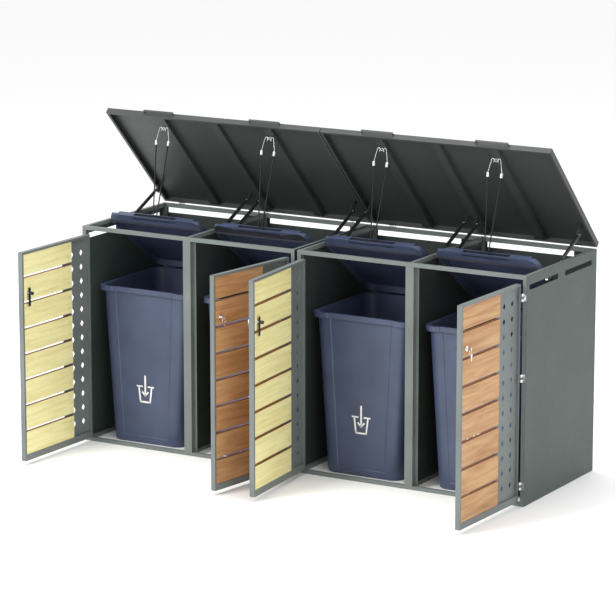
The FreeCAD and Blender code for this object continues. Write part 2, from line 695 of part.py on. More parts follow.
def strut_frame_brackets():
    """Plates on the top side rails, each with a collar and a stud for a strut's foot."""
    spans = ((-LENGTH / 2, -ROOF_SEAM), (ROOF_SEAM, LENGTH / 2))
    brackets = []
    y, z = STRUT_FOOT
    for (left, right), module in zip(spans, MODULES):
        middle = middle_of(module)
        faces = (module[0] + TUBE, middle - TUBE / 2, middle + TUBE / 2, module[1] - TUBE)
        for (x, side, _), face in zip(strut_places(left, right), faces):
            plate = box(face, face - side * 2.5, y - 15.0, y + 15.0, z - 13.0, HEIGHT - 2.0)
            reach = abs(x + side * (EYE_WIDTH / 2 + STRUT_SIDE_PLAY) - face)
            collar = rod((face, y, z), (-side, 0, 0), 7.0, reach)
            stud = rod((face, y, z), (-side, 0, 0), STUD_R, reach + STRUT_SIDE_PLAY + EYE_WIDTH)
            brackets.append(union([plate, collar, stud]))
    export("strut_frame_brackets", brackets)


# ---- bins ----
def tapered(half_low, span_low, low, half_high, span_high, high, radius):
    """A solid between two level round-cornered rectangles."""
    bottom = rounded_rectangle(half_low, span_low[0], span_low[1], low, radius)
    top = rounded_rectangle(half_high, span_high[0], span_high[1], high, radius)
    return Part.makeLoft([bottom, top], True, True)


def bin_body():
    """The tub: tapered walls, a folded rim, lugs for the lid's pin and the wheels' axle, and the pin."""
    rim_low = BIN_TOP - BIN_RIM
    base_span, shoulder_span = BIN_BASE[1:], BIN_SHOULDER[1:]
    outer = tapered(BIN_BASE[0] / 2, base_span, 0.0, BIN_SHOULDER[0] / 2, shoulder_span, BIN_TOP,
                    BIN_CORNER_R)
    rim = tapered(BIN_MOUTH[0] / 2, BIN_MOUTH[1:], rim_low, BIN_MOUTH[0] / 2, BIN_MOUTH[1:], BIN_TOP,
                  BIN_CORNER_R + 10.0)
    w = BIN_WALL
    cavity = tapered(BIN_BASE[0] / 2 - w, (base_span[0] + w, base_span[1] - w), 6.0,
                     BIN_SHOULDER[0] / 2 - w, (shoulder_span[0] + w, shoulder_span[1] - w), BIN_TOP + 1.0,
                     BIN_CORNER_R - w)
    tub = outer.fuse(rim).cut(cavity)
    y, z = LID_AXIS
    for side in (-1, 1):
        x = side * LID_LUG[0] - LID_LUG[1] / 2
        lug = union([rod((x, y, z), (1, 0, 0), LID_KNUCKLE_R, LID_LUG[1]),
                     box(x, x + LID_LUG[1], BIN_MOUTH[2] - w, y + LID_PIN_R, rim_low, z)])
        tub = tub.fuse(lug).cut(rod((x - 1, y, z), (1, 0, 0), LID_PIN_R, LID_LUG[1] + 2))
    for side in (-1, 1):
        x = side * AXLE_LUG[0] - AXLE_LUG[1] / 2
        lug = union([rod((x, WHEEL_Y, WHEEL_R), (1, 0, 0), AXLE_LUG_R, AXLE_LUG[1]),
                     box(x, x + AXLE_LUG[1], BIN_BASE[2], WHEEL_Y, WHEEL_R - AXLE_LUG_R,
                         WHEEL_R + 45.0)])
        lug = lug.cut(cavity)
        tub = tub.fuse(lug).cut(rod((x - 1, WHEEL_Y, WHEEL_R), (1, 0, 0), AXLE_R + RUNNING_CLEARANCE,
                                    AXLE_LUG[1] + 2))
    lid_pin = rod((-LID_PIN_HALF, y, z), (1, 0, 0), LID_PIN_R, 2 * LID_PIN_HALF)
    return [tub.removeSplitter(), lid_pin]


def bin_wheels():
    """Two tyred wheels and the axle that carries them."""
    solids = [rod((-WHEEL_OFFSET + WHEEL_WIDTH / 2, WHEEL_Y, WHEEL_R), (1, 0, 0), AXLE_R,
                  2 * WHEEL_OFFSET - WHEEL_WIDTH)]
    for side in (-1, 1):
        x = side * WHEEL_OFFSET - WHEEL_WIDTH / 2
        wheel = rod((x, WHEEL_Y, WHEEL_R), (1, 0, 0), WHEEL_R, WHEEL_WIDTH)
        edge = [e for e in wheel.Edges if abs(e.Length - 2 * math.pi * WHEEL_R) < 1.0]
        wheel = wheel.makeFillet(TYRE_ROUND, edge)
        outer_face = x + WHEEL_WIDTH if side > 0 else x
        dish = rod((outer_face - side * DISC_SINK, WHEEL_Y, WHEEL_R), (side, 0, 0), DISC_R, DISC_SINK + 1)
        hub = rod((outer_face - side * (DISC_SINK + 1), WHEEL_Y, WHEEL_R), (side, 0, 0), HUB_R, DISC_SINK + 1)
        solids.append(wheel.cut(dish).fuse(hub))
    return solids


def prism(half, points):
    """A solid with the same (Y, Z) outline all along X, from -half to half."""
    corners = [Vector(-half, y, z) for y, z in points + points[:1]]
    return Part.Face(Part.makePolygon(corners)).extrude(Vector(2 * half, 0, 0))


def lid_slope():
    """The (Y, Z) where the lid's slanted front meets its flat top, and where it meets the ridge's."""
    return (LIP[0] + LID_TOP - LIP[1], LID_TOP), (LIP[0] + RIDGE_TOP - LIP[1], RIDGE_TOP)


def cross_bar_centre():
    """The (Y, Z) of the bar across the slot, sunk square to the slanted front."""
    foot, _ = lid_slope()
    sink = CROSS_BAR_SINK * math.sqrt(0.5)
    return foot[0] + sink, foot[1] - sink


def bin_lid():
    """The lid, drawn shut: a round-cornered cover with a beaked lip, a ridge, a slot and knuckles."""
    w = LID_WALL
    foot, crest = lid_slope()
    mouth, low = LIP_HEEL[0] + w, LID_LOW - w
    outline = [LIP, foot, (LID_REAR, LID_TOP), (LID_REAR, LID_LOW), (mouth, LID_LOW), LIP_HEEL]
    inside = [(LIP[0] + 1.9 * w, LIP[1] + 0.1 * w), (foot[0] + 0.4 * w, LID_TOP - w),
              (LID_REAR - w, LID_TOP - w), (LID_REAR - w, low), (mouth, low), (mouth, LIP_HEEL[1] + 0.5 * w)]
    reach = (LIP[0], LID_REAR)
    plan = tapered(LID_HALF, reach, low, LID_HALF, reach, RIDGE_TOP, LID_CORNER_R)
    reach = (LIP[0] + w, LID_REAR - w)
    inner_plan = tapered(LID_HALF - w, reach, low, LID_HALF - w, reach, RIDGE_TOP, LID_CORNER_R - w)
    lid = prism(LID_HALF, outline).common(plan).cut(prism(LID_HALF, inside).common(inner_plan))
    lid = lid.fuse(prism(RIDGE_HALF, [foot, crest, (RIDGE_BACK - 5.0, RIDGE_TOP), (RIDGE_BACK, LID_TOP)]))
    middle = cross_bar_centre()
    slot = box(-SLOT_HALF, SLOT_HALF, foot[0] - SLOT_WIDTH / 2, foot[0] + SLOT_WIDTH / 2,
               LID_TOP - SLOT_DEPTH, LID_TOP + SLOT_DEPTH)
    lid = lid.cut(turned(slot, (0, *foot), (1, 0, 0), 45.0))
    half_bar = (SLOT_WIDTH / 2 + 3.0) * math.sqrt(0.5)
    lid = lid.fuse(rod((0, middle[0] - half_bar, middle[1] - half_bar), (0, 1, 1), CROSS_BAR_R,
                       SLOT_WIDTH + 6.0))
    y, z = LID_AXIS
    for side in (-1, 1):
        x = side * LID_KNUCKLE[0] - LID_KNUCKLE[1] / 2
        lid = lid.fuse(rod((x, y, z), (1, 0, 0), LID_KNUCKLE_R, LID_KNUCKLE[1]))
        lid = lid.fuse(box(x, x + LID_KNUCKLE[1], LID_REAR - 2.0, y, z, z + LID_KNUCKLE_R))
        lid = lid.cut(rod((x - 1, y, z), (1, 0, 0), LID_PIN_R + RUNNING_CLEARANCE, LID_KNUCKLE[1] + 2))
    return lid.removeSplitter()


def bins():
    """A bin in each compartment."""
    tub, wheels, lid = bin_body(), bin_wheels(), opened_bin_lid(bin_lid())
    for number, centre in enumerate(compartments(), start=1):
        shift = Vector(centre, 0, 0)
        export(f"bin_{number}_body", [s.translated(shift) for s in tub])
        export(f"bin_{number}_wheels", [s.translated(shift) for s in wheels])
        export(f"bin_{number}_lid", [lid.translated(shift)])
        export(f"rope_{number}", [rope(centre)])


def main():
    """Writes every sub-part."""
    os.makedirs("parts", exist_ok=True)
    frame_parts()
    panels()
    fixed_hinge_halves()
    strut_frame_brackets()
    doors()
    roof_lids()
    bins()


main()
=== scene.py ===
"""Dresses a four-compartment bin store: coats, boards, moulded bins, lifting ropes, light and camera.

Every length is in metres and every place is in the store's own frame: X along the doors, Y to the
rear, Z up, origin on the ground at the middle of the footprint.
"""
import json
import logging
import math
from dataclasses import dataclass
from enum import Enum

import bmesh
import bpy
from mathutils import Matrix, Vector


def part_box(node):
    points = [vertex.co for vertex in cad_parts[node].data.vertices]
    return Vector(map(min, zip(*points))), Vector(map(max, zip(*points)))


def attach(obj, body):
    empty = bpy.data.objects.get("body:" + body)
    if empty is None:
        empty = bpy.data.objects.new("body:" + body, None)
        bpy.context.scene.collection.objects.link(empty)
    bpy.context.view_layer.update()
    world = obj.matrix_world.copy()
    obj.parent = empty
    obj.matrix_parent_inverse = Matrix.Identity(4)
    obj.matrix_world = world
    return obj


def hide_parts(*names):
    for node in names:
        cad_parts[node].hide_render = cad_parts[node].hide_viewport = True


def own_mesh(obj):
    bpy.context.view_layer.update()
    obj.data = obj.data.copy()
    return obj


log = logging.getLogger("bin_store")
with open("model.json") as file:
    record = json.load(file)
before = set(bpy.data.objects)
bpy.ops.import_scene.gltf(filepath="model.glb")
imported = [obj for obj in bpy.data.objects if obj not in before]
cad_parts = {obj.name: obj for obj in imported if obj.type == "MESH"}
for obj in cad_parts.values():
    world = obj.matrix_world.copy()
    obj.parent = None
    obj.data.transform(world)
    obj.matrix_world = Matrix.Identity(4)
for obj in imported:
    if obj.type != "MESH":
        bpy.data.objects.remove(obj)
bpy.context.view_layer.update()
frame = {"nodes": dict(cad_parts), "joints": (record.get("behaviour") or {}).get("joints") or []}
COMPARTMENTS = (1, 2, 3, 4)

Triple = tuple[float, float, float]
Pair = tuple[float, float]
UNSCALED: Triple = (1.0, 1.0, 1.0)
MERGE_GAP = 1e-6
FLAT_ANGLE = 0.5
SHARP_ANGLE = 32.0
FACING = 0.9
WHEEL_EDGE = 0.002


class Side(Enum):
    """Which lid of the roof a piece belongs to."""

    LEFT = "left"
    RIGHT = "right"


class Face(Enum):
    """Which finish a face of a door's boards takes; the value is its material number."""

    OUTER = 0
    INNER = 1
    EDGE = 2


def joint(name: str) -> dict:
    """The record's entry for one joint, with its place, axis and range."""
    return next(j for j in frame["joints"] if j["name"] == name)


def lid_of(compartment: int) -> Side:
    """The roof lid over a compartment."""
    return Side.LEFT if compartment <= 2 else Side.RIGHT


def shade(colour: Triple, factor: float) -> Triple:
    """A linear colour times a factor, held at 1."""
    return tuple(min(1.0, part * factor) for part in colour)


# ---- finishes ----
class NodeMaterial:
    """A material whose nodes are added one call at a time."""

    def __init__(self, name: str) -> None:
        """Starts the material with its principled shader.

        Args:
            name: the material's name.
        """
        self.material = bpy.data.materials.new(name)
        self.material.use_nodes = True
        self.tree = self.material.node_tree
        self.shader = self.tree.nodes["Principled BSDF"]

    def add(self, kind: str, **values: object) -> bpy.types.Node:
        """Adds a node and sets its inputs or properties.

        Args:
            kind: the node's type name.
            values: an input's value or link by its name with underscores, or a property.

        Returns:
            The new node.
        """
        node = self.tree.nodes.new(kind)
        for key, value in values.items():
            if hasattr(node, key):
                setattr(node, key, value)
            else:
                self.feed(node.inputs[key.replace("_", " ")], value)
        return node

    def feed(self, socket: bpy.types.NodeSocket, value: object) -> None:
        """Links an output to a socket, or sets the socket's value.

        Args:
            socket: the input.
            value: an output socket, or a plain value.
        """
        if isinstance(value, bpy.types.NodeSocket):
            self.tree.links.new(value, socket)
        else:
            socket.default_value = value

    def coordinates(self, scale: Triple, source: str = "Object") -> bpy.types.NodeSocket:
        """Scaled texture coordinates.

        Args:
            scale: the stretch along each axis.
            source: Object or UV.

        Returns:
            The vector output.
        """
        raw = self.add("ShaderNodeTexCoord").outputs[source]
        return self.add("ShaderNodeMapping", Vector=raw, Scale=scale).outputs["Vector"]

    def noise(self, scale: float, detail: float, vector: bpy.types.NodeSocket) -> bpy.types.NodeSocket:
        """A noise's grey value at a scale."""
        return self.add("ShaderNodeTexNoise", Vector=vector, Scale=scale, Detail=detail).outputs["Fac"]

    def ramp(self, value: bpy.types.NodeSocket, *stops: tuple[float, Triple]) -> bpy.types.NodeSocket:
        """A colour ramp.

        Args:
            value: what picks the colour.
            stops: pairs of position and linear colour.

        Returns:
            The colour output.
        """
        node = self.add("ShaderNodeValToRGB", Fac=value)
        elements = node.color_ramp.elements
        while len(elements) < len(stops):
            elements.new(0.5)
        for element, (position, colour) in zip(elements, stops):
            element.position = position
            element.color = (*colour, 1.0)
        return node.outputs["Color"]

    def shades(self, value: bpy.types.NodeSocket, colour: Triple, stops: Pair, factors: Pair
               ) -> bpy.types.NodeSocket:
        """A ramp between two shades of one colour.

        Args:
            value: what picks the shade.
            colour: the linear colour.
            stops: the ramp's two positions.
            factors: what the colour is multiplied by at each of them.

        Returns:
            The colour output.
        """
        return self.ramp(value, *((stop, shade(colour, factor)) for stop, factor in zip(stops, factors)))

    def base(self, colour: bpy.types.NodeSocket) -> None:
        """Drives the base colour."""
        self.feed(self.shader.inputs["Base Color"], colour)

    def bump(self, height: bpy.types.NodeSocket, strength: float, distance: float) -> None:
        """Roughens the surface's normal by a height."""
        node = self.add("ShaderNodeBump", Height=height, Strength=strength, Distance=distance)
        self.feed(self.shader.inputs["Normal"], node.outputs["Normal"])

    def roughness(self, value: bpy.types.NodeSocket, low: float, high: float) -> None:
        """Drives roughness between two limits."""
        node = self.add("ShaderNodeMapRange", Value=value, To_Min=low, To_Max=high)
        self.feed(self.shader.inputs["Roughness"], node.outputs["Result"])


@dataclass(frozen=True)
class PowderCoat:
    """Satin powder coat with a fine orange peel and slight clouding."""

    name: str
    colour: Triple
    gloss: Pair = (0.38, 0.52)
    peel_scale: float = 900.0
    cloud_scale: float = 3.0
    specular: float = 0.45

    def build(self) -> bpy.types.Material:
        """Makes the material.

        Returns:
            The material.
        """
        m = NodeMaterial(self.name)
        at = m.coordinates(UNSCALED)
        clouds = m.noise(scale=self.cloud_scale, detail=5.0, vector=at)
        m.base(m.shades(clouds, self.colour, stops=(0.3, 0.7), factors=(0.88, 1.10)))
        m.roughness(m.noise(scale=40.0, detail=3.0, vector=at), *self.gloss)
        m.bump(m.noise(scale=self.peel_scale, detail=2.0, vector=at), strength=0.10, distance=0.0004)
        m.shader.inputs["Specular IOR Level"].default_value = self.specular
        return m.material


@dataclass(frozen=True)
class Metal:
    """Plated or ground metal with faint handling marks."""

    name: str
    colour: Triple
    gloss: Pair

    def build(self) -> bpy.types.Material:
        """Makes the material.

        Returns:
            The material.
        """
        m = NodeMaterial(self.name)
        at = m.coordinates(UNSCALED)
        tarnish = m.noise(scale=60.0, detail=4.0, vector=at)
        m.base(m.shades(tarnish, self.colour, stops=(0.3, 0.7), factors=(0.85, 1.0)))
        m.roughness(m.noise(scale=220.0, detail=4.0, vector=at), *self.gloss)
        m.bump(m.noise(scale=700.0, detail=2.0, vector=at), strength=0.05, distance=0.0002)
        m.shader.inputs["Metallic"].default_value = 1.0
        return m.material


@dataclass(frozen=True)
class Wood:
    """Planed softwood: long grain, growth bands, pores and a tone of its own for each board."""

    name: str
    light: Triple
    dark: Triple
    grain: Triple = (2.2, 26.0, 26.0)
    drift_stretch: Triple = (1.0, 4.0, 1.0)
    drift_share: float = 0.55
    pore_stretch: Triple = (30.0, 900.0, 900.0)
    pore_tint: Triple = (0.80, 0.78, 0.74)
    pore_share: float = 0.55

    def build(self) -> bpy.types.Material:
        """Makes the material, which follows the boards' own UV map.

        Returns:
            The material.
        """
        m = NodeMaterial(self.name)
        along = m.coordinates(self.grain, "UV")
        drift = m.noise(scale=1.4, detail=2.0, vector=m.coordinates(self.drift_stretch, "UV"))
        bands = m.add("ShaderNodeTexNoise", Vector=along, Scale=1.6, Detail=6.0, Distortion=0.7)
        mixed = m.add("ShaderNodeMath", operation="MULTIPLY_ADD")
        m.feed(mixed.inputs[0], drift)
        m.feed(mixed.inputs[1], self.drift_share)
        m.feed(mixed.inputs[2], bands.outputs["Fac"])
        middle = tuple((a + b) / 2 for a, b in zip(self.light, self.dark))
        tone = m.ramp(mixed.outputs["Value"], (0.50, self.dark), (0.72, middle), (0.92, self.light))
        pores = m.noise(scale=1.0, detail=3.0, vector=m.coordinates(self.pore_stretch, "UV"))
        streaks = m.ramp(pores, (0.30, self.pore_tint), (0.55, UNSCALED))
        blend = m.add("ShaderNodeMixRGB", blend_type="MULTIPLY", Fac=self.pore_share, Color1=tone,
                      Color2=streaks)
        m.base(blend.outputs["Color"])
        m.roughness(pores, low=0.62, high=0.46)
        m.bump(pores, strength=0.22, distance=0.0005)
        return m.material


@dataclass(frozen=True)
class Moulding:
    """Moulded plastic or rubber with a fine grain."""

    name: str
    colour: Triple
    gloss: Pair = (0.36, 0.50)
    grain_scale: float = 1400.0
    grain_depth: float = 0.12

    def build(self) -> bpy.types.Material:
        """Makes the material.

        Returns:
            The material.
        """
        m = NodeMaterial(self.name)
        at = m.coordinates(UNSCALED)
        scuffs = m.noise(scale=7.0, detail=8.0, vector=at)
        m.base(m.shades(scuffs, self.colour, stops=(0.32, 0.70), factors=(0.86, 1.12)))
        m.roughness(m.noise(scale=18.0, detail=6.0, vector=at), *self.gloss)
        grain = m.noise(scale=self.grain_scale, detail=2.0, vector=at)
        m.bump(grain, strength=self.grain_depth, distance=0.0004)
        return m.material


@dataclass(frozen=True)
class Braid:
    """Braided cord: crossing strands from two slanting waves."""

    name: str
    colour: Triple
    strands: float = 130.0
    slant: float = 2.2
    wander: float = 0.4

    def build(self) -> bpy.types.Material:
        """Makes the material.

        Returns:
            The material.
        """
        m = NodeMaterial(self.name)
        waves = []
        for hand in (1.0, -1.0):
            wave = m.add("ShaderNodeTexWave", Vector=m.coordinates((hand * self.slant, 1.0, 1.0)),
                         Scale=self.strands, bands_direction="DIAGONAL", Distortion=self.wander)
            waves.append(wave.outputs["Fac"])
        weave = m.add("ShaderNodeMath", operation="MULTIPLY")
        m.feed(weave.inputs[0], waves[0])
        m.feed(weave.inputs[1], waves[1])
        height = weave.outputs["Value"]
        # The weave's hollows are painted down to half the colour: painted shade between the strands.
        m.base(m.shades(height, self.colour, stops=(0.0, 1.0), factors=(0.5, 1.0)))
        m.roughness(height, low=0.85, high=0.6)
        m.bump(height, strength=0.6, distance=0.0008)
        return m.material


FINISHES = {
    "coat": PowderCoat("anthracite_coat", (0.150, 0.172, 0.168)),
    # A darker copy of the anthracite coat: painted shade on the side panels.
    "coat_side_shade": PowderCoat("anthracite_coat_painted_side_shade", (0.046, 0.064, 0.057)),
    # A darker copy of the anthracite coat: painted shade on the roof lids, whose underside lies in shade.
    "coat_roof_shade": PowderCoat("anthracite_coat_painted_roof_shade", (0.048, 0.053, 0.051)),
    # The darkest copy of the anthracite coat: painted shade inside the compartments.
    "coat_wall_shade": PowderCoat("anthracite_coat_painted_wall_shade", (0.036, 0.043, 0.041)),
    "chrome": Metal("bright_chrome", (0.82, 0.82, 0.83), (0.10, 0.24)),
    "zinc": Metal("zinc_plate", (0.66, 0.67, 0.69), (0.26, 0.42)),
    "rod": Metal("ground_rod", (0.62, 0.62, 0.64), (0.16, 0.28)),
    "black": Moulding("black_lacquer", (0.018, 0.018, 0.020), (0.22, 0.36), 500.0, 0.05),
    "outer_wood": Wood("oiled_orange_board", (0.545, 0.325, 0.155), (0.355, 0.163, 0.057)),
    "edge_wood": Wood("brown_board_edge", (0.42, 0.19, 0.075), (0.22, 0.085, 0.030)),
    "inner_wood": Wood("pale_board", (0.90, 0.84, 0.44), (0.76, 0.66, 0.28)),
    "bin": Moulding("blue_grey_plastic", (0.057, 0.075, 0.138)),
    # A near-black copy of the bin plastic for the lids' grip slots: painted shade.
    "recess": Moulding("painted_slot_shade_plastic", (0.008, 0.010, 0.018), (0.7, 0.85)),
    "tyre": Moulding("tyre_rubber", (0.022, 0.022, 0.024), (0.62, 0.8), 500.0, 0.25),
    "mark": Moulding("white_mark", (0.86, 0.86, 0.86), (0.4, 0.5), 600.0, 0.04),
    "rope": Braid("black_braid", (0.013, 0.013, 0.015)),
}
MATERIALS = {key: finish.build() for key, finish in FINISHES.items()}


# ---- making pieces ----
def make_piece(name: str, mesh: bmesh.types.BMesh, body: str, finishes: list[str],
               replaced: tuple[str, ...] = ()) -> bpy.types.Object:
    """Turns a finished bmesh into a piece that rides on a body.

    Args:
        name: the piece's name.
        mesh: its shape, in the store's frame; it is freed.
        body: the body it moves with.
        finishes: keys of MATERIALS, in the order of the faces' material numbers.
        replaced: the CAD nodes it stands for.

    Returns:
        The new object.
    """
    data = bpy.data.meshes.new(name)
    mesh.to_mesh(data)
    mesh.free()
    piece = bpy.data.objects.new(name, data)
    bpy.context.scene.collection.objects.link(piece)
    for key in finishes:
        data.materials.append(MATERIALS[key])
    for polygon in data.polygons:
        polygon.use_smooth = True
    data.set_sharp_from_angle(angle=math.radians(SHARP_ANGLE))
    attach(piece, body)
    if replaced:
        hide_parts(*replaced)
    log.info("made %s with %d faces on %s", name, len(data.polygons), body)
    return piece


def add_bevel(piece: bpy.types.Object, width: float, segments: int = 2, angle: float = 38.0) -> None:
    """Rounds a piece's sharp edges with a modifier.

    Args:
        piece: the object.
        width: the bevel's width.
        segments: how many steps it has.
        angle: the least turn between two faces, in degrees, that counts as an edge.
    """
    bevel = piece.modifiers.new("edges", "BEVEL")
    bevel.width = width
    bevel.segments = segments
    bevel.limit_method = "ANGLE"
    bevel.angle_limit = math.radians(angle)
    bevel.harden_normals = True


def merged_copy(node: str) -> bmesh.types.BMesh:
    """A CAD node's shape with its loose triangles joined and its flat faces whole.

    Args:
        node: the node's name.

    Returns:
        A new bmesh in the store's frame.
    """
    mesh = bmesh.new()
    mesh.from_mesh(frame["nodes"][node].data)
    bmesh.ops.remove_doubles(mesh, verts=mesh.verts, dist=MERGE_GAP)
    flat = math.radians(FLAT_ANGLE)
    bmesh.ops.dissolve_limit(mesh, angle_limit=flat, verts=mesh.verts, edges=mesh.edges)
    return mesh


def eased(node: str, body: str, finish: str, width: float) -> bpy.types.Object:
    """A CAD node with its edges eased, as folded sheet, drawn tube and turned parts have them.

    Args:
        node: the node's name, which the piece replaces.
        body: the body it moves with.
        finish: a key of MATERIALS.
        width: the bevel's width.

    Returns:
        The new object.
    """
    piece = make_piece(node + "_eased", merged_copy(node), body, [finish], (node,))
    add_bevel(piece, width)
    return piece


def face_out(mesh: bmesh.types.BMesh) -> None:
    """Points an open shell's faces outwards, so that the lowest of them looks down.

    Args:
        mesh: the shell, which is changed.
    """
    bmesh.ops.recalc_face_normals(mesh, faces=mesh.faces)
    lowest = min(mesh.faces, key=lambda face: face.calc_center_median().z)
    if lowest.normal.z > 0:
        bmesh.ops.reverse_faces(mesh, faces=mesh.faces)


def block(mesh: bmesh.types.BMesh, low: Vector, high: Vector) -> list[bmesh.types.BMVert]:
    """Adds a block.

    Args:
        mesh: what it is added to.
        low: its lowest corner.
        high: its highest corner.

    Returns:
        Its vertices.
    """
    size = high - low
    place = Matrix.Translation((low + high) / 2) @ Matrix.Diagonal((*size, 1.0))
    return bmesh.ops.create_cube(mesh, size=1.0, matrix=place)["verts"]


def bar(mesh: bmesh.types.BMesh, start: Vector, end: Vector, radius: float, segments: int = 24
        ) -> list[bmesh.types.BMVert]:
    """Adds a round bar.

    Args:
        mesh: what it is added to.
        start: the centre of one end.
        end: the centre of the other.
        radius: its radius.
        segments: how many sides it has.

    Returns:
        Its vertices.
    """
    axis = end - start
    turn = axis.to_track_quat("Z", "Y").to_matrix().to_4x4()
    place = Matrix.Translation((start + end) / 2) @ turn
    made = bmesh.ops.create_cone(mesh, cap_ends=True, segments=segments, radius1=radius, radius2=radius,
                                 depth=axis.length, matrix=place)
    return made["verts"]


# ---- doors ----
@dataclass
class Door:
    """One door's boards, screws, lock and frame. Sizes are in the shut left-hung door's own frame."""

    number: int
    board_count: int = 8
    board_height: float = 0.1215
    board_pitch: float = 0.1358
    board_low: float = 0.058
    board_limit: float = 1.118
    board_end: float = 0.585
    outer_start: float = 0.210
    inner_start: float = 0.165
    tongue_start: float = 0.238
    layers: tuple[float, float, float, float] = (0.008, 0.0175, 0.0205, 0.030)
    grain_shift: Triple = (0.83, 0.31, 0.57)
    cam_depth: float = 0.034
    screw_radius: float = 0.0045
    screw_inset: float = 0.030
    screw_shares: Pair = (0.25, 0.75)
    screw_dome: float = 0.4
    board_edge: float = 0.0012
    lock_edge: float = 0.0005
    cam_edge: float = 0.0004
    frame_edge: float = 0.0008

    @property
    def body(self) -> str:
        """The body that the door moves with."""
        return f"door_{self.number}"

    def hung(self) -> Matrix:
        """The place of the shut left-hung door's frame where this door stands open.

        Returns:
            The placing matrix, which mirrors X for a right-hung door.
        """
        hinge = joint(f"door_{self.number}_hinge")
        hand = -1.0 if hinge["axis"][2] > 0 else 1.0
        turn = Matrix.Rotation(math.radians(hand * hinge["range_deg"][0]), 4, "Z")
        x, y, _ = hinge["pos_m"]
        return Matrix.Translation((x, y, 0.0)) @ turn @ Matrix.Diagonal((hand, 1.0, 1.0, 1.0))

    def finish_shape(self, mesh: bmesh.types.BMesh) -> None:
        """Hangs a shape made in the shut door's frame, and points its faces outwards."""
        bmesh.ops.transform(mesh, matrix=self.hung(), verts=mesh.verts)
        bmesh.ops.recalc_face_normals(mesh, faces=mesh.faces)

    def build_boards(self) -> bpy.types.Object:
        """Makes the rebated boards, orange outside and pale inside, with grain along them.

        Returns:
            The new object.
        """
        by_board, by_door, across = self.grain_shift
        mesh = bmesh.new()
        grain = mesh.loops.layers.uv.new("grain")
        front, groove_front, groove_back, back = self.layers
        runs = ((self.outer_start, front, groove_front, Face.OUTER),
                (self.tongue_start, groove_front, groove_back, Face.INNER),
                (self.inner_start, groove_back, back, Face.INNER))
        for index in range(self.board_count):
            low = self.board_low + index * self.board_pitch
            high = min(low + self.board_height, self.board_limit)
            for start, near, far, face in runs:
                verts = block(mesh, Vector((start, near, low)), Vector((self.board_end, far, high)))
                mesh.normal_update()
                for f in {f for v in verts for f in v.link_faces}:
                    shown = f.normal.y < -FACING if face is Face.OUTER else f.normal.y > FACING
                    f.material_index = face.value if shown else Face.EDGE.value
                    for loop in f.loops:
                        co = loop.vert.co
                        loop[grain].uv = (co.x + by_board * index + by_door * self.number,
                                          co.z + co.y + across * index)
        self.finish_shape(mesh)
        boards = make_piece(f"door_{self.number}_planks", mesh, self.body,
                            ["outer_wood", "inner_wood", "edge_wood"], (f"door_{self.number}_boards",))
        add_bevel(boards, self.board_edge)
        return boards

    def build_lock(self) -> None:
        """Dresses the lock: plated outside, with a black cam and knob inside."""
        eased(f"door_{self.number}_lock_body", self.body, "chrome", self.lock_edge)
        node = f"door_{self.number}_key_and_cam"
        mesh = merged_copy(node)
        back = self.hung().inverted()
        for face in mesh.faces:
            inside = (back @ face.calc_center_median()).y > self.cam_depth
            face.material_index = 1 if inside else 0
        piece = make_piece(node + "_eased", mesh, f"lock_{self.number}", ["chrome", "black"],
                           (node,))
        add_bevel(piece, self.cam_edge)

    def build_screws(self) -> bpy.types.Object:
        """Makes the domed screws that hold the boards to the stile, two to each board.

        Returns:
            The new object.
        """
        mesh = bmesh.new()
        along, back = self.inner_start + self.screw_inset, self.layers[3]
        for index in range(self.board_count):
            low = self.board_low + index * self.board_pitch
            for share in self.screw_shares:
                z = low + share * self.board_height
                made = bmesh.ops.create_uvsphere(mesh, u_segments=12, v_segments=6, radius=self.screw_radius)
                flat = Matrix.Translation((along, back, z)) @ Matrix.Diagonal((1, self.screw_dome, 1, 1))
                bmesh.ops.transform(mesh, matrix=flat, verts=made["verts"])
        self.finish_shape(mesh)
        return make_piece(f"door_{self.number}_screws", mesh, self.body, ["zinc"])

    def build(self) -> None:
        """Makes everything on the door."""
        self.build_boards()
        self.build_lock()
        self.build_screws()
        eased(f"door_{self.number}_frame", self.body, "coat", self.frame_edge)


# ---- bins ----
@dataclass(frozen=True)
class Lugs:
    """A pair of lugs that hold a round bar behind the tub, one on each side of its middle."""

    along: float
    half_width: float
    radius: float
    front: float
    drop: float
    rise: float = 0.0
    back: float = 0.0

    def add(self, mesh: bmesh.types.BMesh, y: float, z: float) -> None:
        """Adds both lugs.

        Args:
            mesh: what they are added to.
            y: the bar's place along Y.
            z: its height.
        """
        for side in (-1, 1):
            x = side * self.along
            bar(mesh, Vector((x - self.half_width, y, z)), Vector((x + self.half_width, y, z)), self.radius)
            block(mesh, Vector((x - self.half_width, self.front, z - self.drop)),
                  Vector((x + self.half_width, y + self.back, z + self.rise)))


@dataclass(frozen=True)
class Stroke:
    """One flat bar of the mark on a bin, between two points about the mark's centre."""

    start: Pair
    end: Pair
    width: float
    thickness: float = 0.0008
    overrun: float = 0.6

    def add(self, mesh: bmesh.types.BMesh, y: float, z: float) -> None:
        """Adds the bar.

        Args:
            mesh: what it is added to.
            y: the bar's middle along Y.
            z: the height of the mark's centre.
        """
        a, b = Vector((self.start[0], y, z + self.start[1])), Vector((self.end[0], y, z + self.end[1]))
        run = b - a
        turn = Matrix.Rotation(-math.atan2(run.z, run.x), 4, "Y")
        size = Matrix.Diagonal((run.length + self.width * self.overrun, self.thickness, self.width, 1.0))
        bmesh.ops.create_cube(mesh, size=1.0, matrix=Matrix.Translation((a + b) / 2) @ turn @ size)


